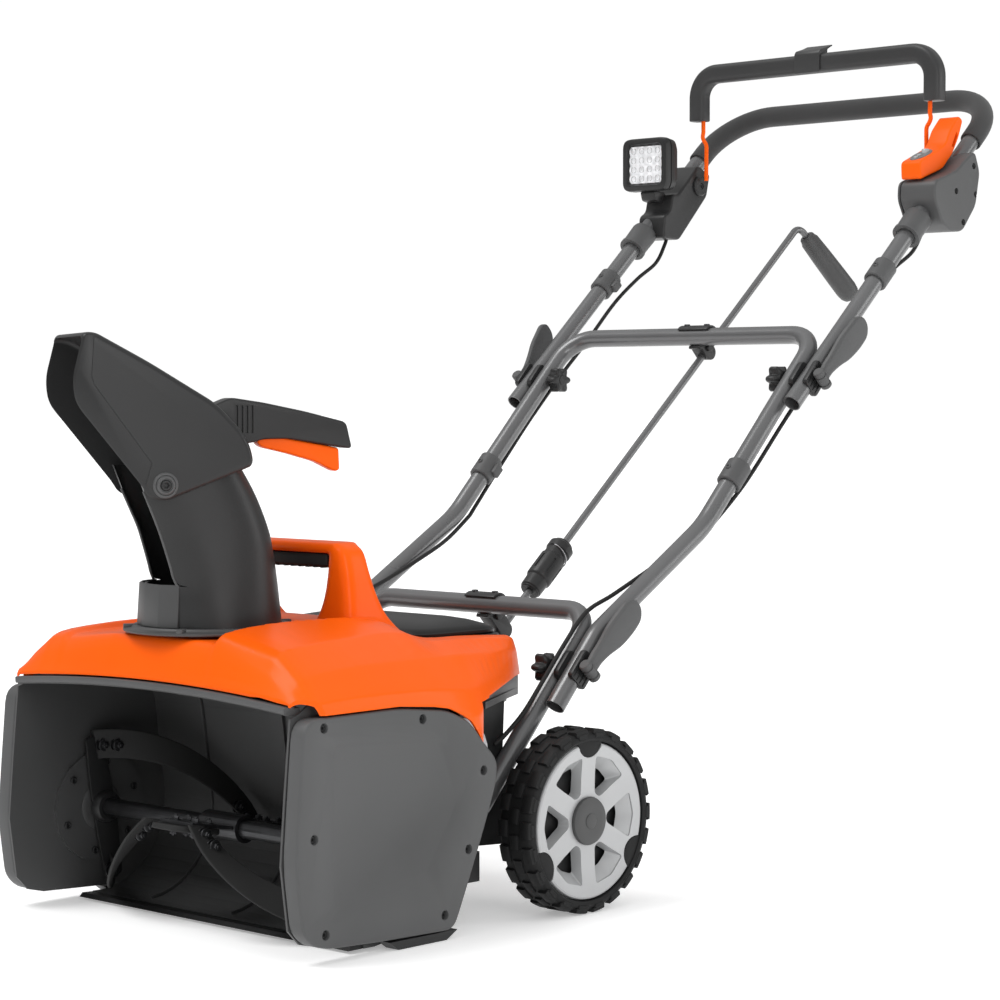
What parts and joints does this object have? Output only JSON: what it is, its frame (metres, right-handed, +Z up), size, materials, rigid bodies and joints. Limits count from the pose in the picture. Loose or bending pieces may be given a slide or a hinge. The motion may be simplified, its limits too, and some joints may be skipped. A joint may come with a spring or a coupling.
{
  "type": "single stage snowblower",
  "caption": "Walk-behind electric snowblower: rubber-bladed auger in an open housing, turning chute with tilting deflector, folding two-piece handle, crank, bail, lamp and wheels.",
  "frame": {"origin": "on the ground below the middle of the footprint", "axes": "+Z up; the auger opening faces -Y and the operator stands at +Y; +X is to the right of someone looking along +Y"},
  "size_m": [0.589, 1.5179, 1.155],
  "materials": {
    "orange_plastic": "glossy injection-moulded orange",
    "grey_plastic": "matt mid grey, lightly grained",
    "black_plastic": "satin black",
    "dark_paint": "dark grey powder coat",
    "rubber": "matt black",
    "tyre_rubber": "matt black",
    "foam": "soft matt foam",
    "silver_paint": "silver-grey satin",
    "steel": "zinc-plated steel",
    "aluminium": "cast, satin",
    "clear_plastic": "clear pebbled lens over white lamps"
  },
  "bodies": {
    "chassis": {"auger_housing": "black_plastic", "side_cover_left": "grey_plastic", "side_cover_right": "grey_plastic", "hood": "orange_plastic", "carry_grip": "rubber", "throat_plate": "grey_plastic", "scraper_bar": "black_plastic", "skid_left": "black_plastic", "skid_right": "black_plastic", "chassis_pan": "black_plastic", "battery": "grey_plastic", "motor": "aluminium", "drive_belt": "rubber", "lower_bracket": "dark_paint", "axle": "steel", "rod_guide_lower": "black_plastic"},
    "lid_body": {"battery_lid": "grey_plastic"},
    "motor_body": {"motor_pulley": "steel"},
    "auger_body": {"auger_shaft": "steel", "auger_pulley": "black_plastic", "auger_center_plate": "steel", "auger_paddle_a": "rubber", "auger_paddle_b": "rubber", "auger_flight_left": "rubber", "auger_flight_right": "rubber"},
    "wheel_left_body": {"wheel_rim_left": "silver_paint", "tyre_left": "tyre_rubber"},
    "wheel_right_body": {"wheel_rim_right": "silver_paint", "tyre_right": "tyre_rubber"},
    "chute_turntable": {"chute_ring": "black_plastic", "chute_body": "grey_plastic"},
    "deflector_body": {"deflector": "grey_plastic", "deflector_handle": "grey_plastic"},
    "trigger_body": {"deflector_trigger": "orange_plastic"},
    "pinion_body": {"chute_pinion": "steel"},
    "lower_rod_body": {"crank_rod_lower": "dark_paint"},
    "mid_section": {"mid_handle": "dark_paint", "rod_guide_upper": "black_plastic", "cable_left": "rubber", "cable_right": "rubber"},
    "crank_body": {"crank_rod_upper": "dark_paint"},
    "crank_grip_body": {"crank_grip": "black_plastic"},
    "upper_section": {"upper_handle": "dark_paint", "handlebar_foam": "foam", "control_housing": "grey_plastic", "control_side_plate": "grey_plastic", "control_bezel": "orange_plastic", "bail_housing_left": "grey_plastic"},
    "button_body": {"power_button": "grey_plastic"},
    "lamp_body": {"lamp_housing": "black_plastic", "lamp_lens": "clear_plastic"},
    "bail_body": {"bail": "grey_plastic"},
    "low_knob_left_body": {"low_knob_left": "black_plastic"},
    "low_lever_left_body": {"low_lever_left": "grey_plastic"},
    "mid_knob_left_body": {"mid_knob_left": "black_plastic"},
    "mid_lever_left_body": {"mid_lever_left": "grey_plastic"},
    "low_knob_right_body": {"low_knob_right": "black_plastic"},
    "low_lever_right_body": {"low_lever_right": "grey_plastic"},
    "mid_knob_right_body": {"mid_knob_right": "black_plastic"},
    "mid_lever_right_body": {"mid_lever_right": "grey_plastic"}
  },
  "joints": [
    {"name": "lid_open", "type": "hinge", "parent": "chassis", "child": "lid_body", "pos_m": [0, -0.3465, 0.34], "axis": [1, 0, 0], "range_deg": [0, 90]},
    {"name": "auger_spin", "type": "hinge", "parent": "chassis", "child": "auger_body", "pos_m": [0, -0.5365, 0.115], "axis": [1, 0, 0], "continuous": true},
    {"name": "motor_spin", "type": "hinge", "parent": "chassis", "child": "motor_body", "pos_m": [0.25, -0.3865, 0.205], "axis": [1, 0, 0], "continuous": true},
    {"name": "wheel_left_spin", "type": "hinge", "parent": "chassis", "child": "wheel_left_body", "pos_m": [-0.26, -0.1995, 0.113], "axis": [1, 0, 0], "continuous": true},
    {"name": "wheel_right_spin", "type": "hinge", "parent": "chassis", "child": "wheel_right_body", "pos_m": [0.26, -0.1995, 0.113], "axis": [1, 0, 0], "continuous": true},
    {"name": "chute_turn", "type": "hinge", "parent": "chassis", "child": "chute_turntable", "pos_m": [0, -0.5585, 0.356], "axis": [0, 0, 1], "range_deg": [-74, 126]},
    {"name": "deflector_tilt", "type": "hinge", "parent": "chute_turntable", "child": "deflector_body", "pos_m": [-0.03297, -0.62609, 0.5275], "axis": [0.8988, -0.4384, 0], "range_deg": [0, 40]},
    {"name": "trigger_squeeze", "type": "hinge", "parent": "deflector_body", "child": "trigger_body", "pos_m": [0.0263, -0.50457, 0.58], "axis": [0.8988, -0.4384, 0], "range_deg": [0, 4], "stiffness_Nm_per_rad": 0.5, "springref_deg": -17.19},
    {"name": "pinion_spin", "type": "hinge", "parent": "chassis", "child": "pinion_body", "pos_m": [0, -0.4745, 0.315], "axis": [0, 0, 1], "range_deg": [-798, 470]},
    {"name": "lower_rod_spin", "type": "hinge", "parent": "chassis", "child": "lower_rod_body", "pos_m": [0.012, -0.2173, 0.1944], "axis": [0, 0.7548, 0.6559], "range_deg": [-470, 798]},
    {"name": "fold_lower", "type": "hinge", "parent": "chassis", "child": "mid_section", "pos_m": [0, -0.1615, 0.291], "axis": [1, 0, 0], "range_deg": [0, 90], "deforming": ["cable_left", "cable_right"]},
    {"name": "crank_spin", "type": "hinge", "parent": "mid_section", "child": "crank_body", "pos_m": [0.012, 0.5735, 0.88161], "axis": [0, 0.7548, 0.6559], "range_deg": [-470, 798]},
    {"name": "crank_grip_spin", "type": "hinge", "parent": "crank_body", "child": "crank_grip_body", "pos_m": [0.01663, 0.58626, 0.86692], "axis": [0.2317, 0.6381, -0.7343], "continuous": true},
    {"name": "fold_upper", "type": "hinge", "parent": "mid_section", "child": "upper_section", "pos_m": [0, 0.2785, 0.653], "axis": [1, 0, 0], "range_deg": [-95, 0], "deforming": ["cable_left", "cable_right"]},
    {"name": "power_press", "type": "slide", "parent": "upper_section", "child": "button_body", "axis": [0, 0, -1], "range_m": [0, 0.003], "stiffness_N_per_m": 300, "springref_m": -0.002},
    {"name": "lamp_tilt", "type": "hinge", "parent": "upper_section", "child": "lamp_body", "pos_m": [-0.25, 0.5655, 0.941], "axis": [1, 0, 0], "range_deg": [-15, 15]},
    {"name": "bail_squeeze", "type": "hinge", "parent": "upper_section", "child": "bail_body", "pos_m": [0, 0.6235, 0.961], "axis": [-1, 0, 0], "range_deg": [0, 34], "stiffness_Nm_per_rad": 1, "springref_deg": -22.92},
    {"name": "low_knob_left_spin", "type": "hinge", "parent": "chassis", "child": "low_knob_left_body", "pos_m": [-0.1865, -0.1615, 0.291], "axis": [1, 0, 0], "continuous": true},
    {"name": "low_lever_left_open", "type": "hinge", "parent": "chassis", "child": "low_lever_left_body", "pos_m": [-0.249, -0.1615, 0.291], "axis": [0, -0.7394, 0.6732], "range_deg": [0, 120]},
    {"name": "mid_knob_left_spin", "type": "hinge", "parent": "mid_section", "child": "mid_knob_left_body", "pos_m": [-0.2135, 0.2785, 0.653], "axis": [1, 0, 0], "continuous": true},
    {"name": "mid_lever_left_open", "type": "hinge", "parent": "mid_section", "child": "mid_lever_left_body", "pos_m": [-0.2755, 0.2785, 0.653], "axis": [0, -0.7247, 0.6891], "range_deg": [0, 120]},
    {"name": "low_knob_right_spin", "type": "hinge", "parent": "chassis", "child": "low_knob_right_body", "pos_m": [0.1865, -0.1615, 0.291], "axis": [1, 0, 0], "continuous": true},
    {"name": "low_lever_right_open", "type": "hinge", "parent": "chassis", "child": "low_lever_right_body", "pos_m": [0.249, -0.1615, 0.291], "axis": [0, 0.7394, -0.6732], "range_deg": [0, 120]},
    {"name": "mid_knob_right_spin", "type": "hinge", "parent": "mid_section", "child": "mid_knob_right_body", "pos_m": [0.2135, 0.2785, 0.653], "axis": [1, 0, 0], "continuous": true},
    {"name": "mid_lever_right_open", "type": "hinge", "parent": "mid_section", "child": "mid_lever_right_body", "pos_m": [0.2755, 0.2785, 0.653], "axis": [0, 0.7247, -0.6891], "range_deg": [0, 120]}
  ],
  "couplings": [
    {"joint": "motor_spin", "follows": "auger_spin", "ratio": 3.6364},
    {"joint": "pinion_spin", "follows": "chute_turn", "ratio": -6.3044},
    {"joint": "lower_rod_spin", "follows": "chute_turn", "ratio": 6.3044},
    {"joint": "crank_spin", "follows": "chute_turn", "ratio": 6.3044}
  ]
}
